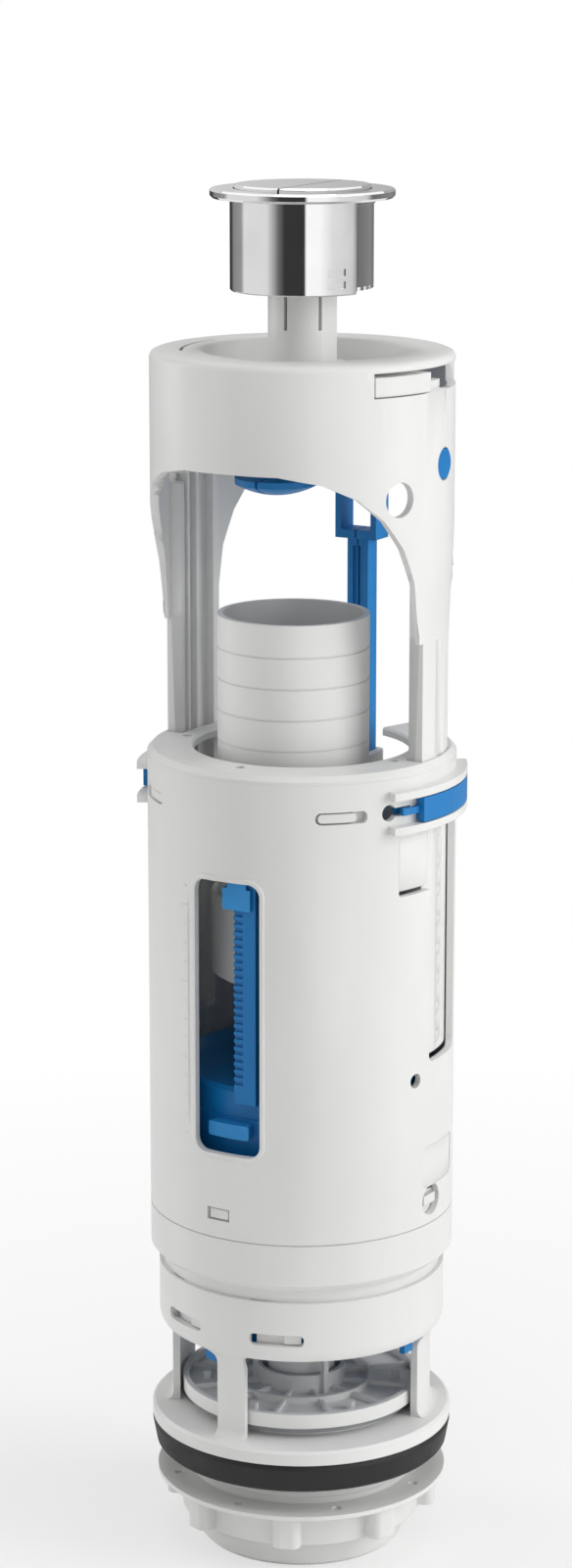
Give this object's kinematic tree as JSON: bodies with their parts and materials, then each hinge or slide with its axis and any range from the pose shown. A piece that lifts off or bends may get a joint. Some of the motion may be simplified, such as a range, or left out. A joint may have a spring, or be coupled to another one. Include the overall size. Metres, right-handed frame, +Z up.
{
  "type": "dual flush valve",
  "caption": "Cistern flush valve with two push buttons, height-adjustable bridge, overflow tube, float and valve disc on a threaded outlet with nut and seal.",
  "frame": {"origin": "centre of the threaded tail's lower end, on the valve's axis", "axes": "+Z up towards the buttons, -Y the front with the long window, +X to the right of the front"},
  "size_m": [0.0846, 0.079, 0.3559],
  "materials": {
    "white_plastic": "moulded, satin gloss",
    "blue_plastic": "moulded, satin gloss",
    "light_blue_plastic": "moulded, satin gloss",
    "black_rubber": "matte, smooth",
    "grey_rubber": "matte, smooth",
    "chrome_plating": "plated, polished",
    "spring_steel": "drawn wire"
  },
  "bodies": {
    "base": {"seat_base": "white_plastic", "cistern_seal": "black_rubber"},
    "nut": {"back_nut": "white_plastic"},
    "column": {"outer_tube": "white_plastic", "top_collar": "white_plastic", "lower_ring": "white_plastic"},
    "valve": {"overflow_tube": "white_plastic", "lift_bracket": "white_plastic", "valve_stem": "white_plastic", "valve_disc": "white_plastic", "ring_clip": "white_plastic", "flush_seal": "grey_rubber", "seal_retainer": "white_plastic"},
    "float": {"float_carriage": "blue_plastic", "stop_clip": "light_blue_plastic"},
    "fill_clip": {"volume_clip": "light_blue_plastic"},
    "right_latch": {"latch_right": "blue_plastic"},
    "left_latch": {"latch_left": "blue_plastic"},
    "head": {"bridge_head": "white_plastic", "stem_guide": "white_plastic", "button_housing": "chrome_plating", "full_spring": "spring_steel", "half_spring": "spring_steel"},
    "head_lock": {"lock_ring": "white_plastic"},
    "large_button": {"full_button": "chrome_plating", "full_push_rod": "white_plastic"},
    "small_button": {"half_button": "chrome_plating", "half_push_rod": "white_plastic"},
    "large_lever": {"full_lever": "blue_plastic", "lever_axle": "spring_steel"},
    "small_lever": {"half_lever": "blue_plastic"},
    "large_rod": {"full_pull_rod": "blue_plastic"},
    "small_rod": {"half_pull_rod": "blue_plastic"}
  },
  "joints": [
    {"name": "nut_turn", "type": "hinge", "parent": "base", "child": "nut", "pos_m": [0, 0, 0.013], "axis": [0, 0, 1], "continuous": true},
    {"name": "column_turn", "type": "hinge", "parent": "base", "child": "column", "pos_m": [0, 0, 0.066], "axis": [0, 0, 1], "range_deg": [-12.5, 0]},
    {"name": "valve_lift", "type": "slide", "parent": "column", "child": "valve", "axis": [0, 0, 1], "range_m": [0, 0.0158]},
    {"name": "float_rise", "type": "slide", "parent": "column", "child": "float", "axis": [0, 0, 1], "range_m": [0, 0.012]},
    {"name": "clip_adjust", "type": "slide", "parent": "float", "child": "fill_clip", "axis": [0, 0, 1], "range_m": [-0.046, 0]},
    {"name": "right_latch_turn", "type": "hinge", "parent": "column", "child": "right_latch", "pos_m": [0, 0, 0.2037], "axis": [0, 0, 1], "range_deg": [-7.3, 0]},
    {"name": "left_latch_turn", "type": "hinge", "parent": "column", "child": "left_latch", "pos_m": [0, 0, 0.2037], "axis": [0, 0, 1], "range_deg": [0, 7.3]},
    {"name": "bridge_height", "type": "slide", "parent": "column", "child": "head", "axis": [0, 0, 1], "range_m": [-0.00767, 0.03835]},
    {"name": "lock_turn", "type": "hinge", "parent": "head", "child": "head_lock", "pos_m": [0, 0, 0.308], "axis": [0, 0, 1], "range_deg": [0, 38]},
    {"name": "full_press", "type": "slide", "parent": "head", "child": "large_button", "axis": [0, 0, -1], "range_m": [0, 0.006], "stiffness_N_per_m": 500, "springref_m": -0.006, "deforming": ["full_spring"]},
    {"name": "half_press", "type": "slide", "parent": "head", "child": "small_button", "axis": [0, 0, -1], "range_m": [0, 0.004], "stiffness_N_per_m": 500, "springref_m": -0.006, "deforming": ["half_spring"]},
    {"name": "full_lever_turn", "type": "hinge", "parent": "head", "child": "large_lever", "pos_m": [0, 0.004, 0.2885], "axis": [1, 0, 0], "range_deg": [0, 33]},
    {"name": "half_lever_turn", "type": "hinge", "parent": "head", "child": "small_lever", "pos_m": [0, 0.004, 0.2885], "axis": [1, 0, 0], "range_deg": [0, 22]},
    {"name": "full_rod_lift", "type": "slide", "parent": "head", "child": "large_rod", "axis": [0, 0, 1], "range_m": [0, 0.0158]},
    {"name": "half_rod_lift", "type": "slide", "parent": "head", "child": "small_rod", "axis": [0, 0, 1], "range_m": [0, 0.0109]}
  ],
  "couplings": [
    {"joint": "valve_lift", "follows": "full_press", "ratio": 2.63},
    {"joint": "full_lever_turn", "follows": "full_press", "rad_per_m": 95.8},
    {"joint": "full_rod_lift", "follows": "full_press", "ratio": 2.63},
    {"joint": "half_lever_turn", "follows": "half_press", "rad_per_m": 95.8},
    {"joint": "half_rod_lift", "follows": "half_press", "ratio": 2.71}
  ]
}
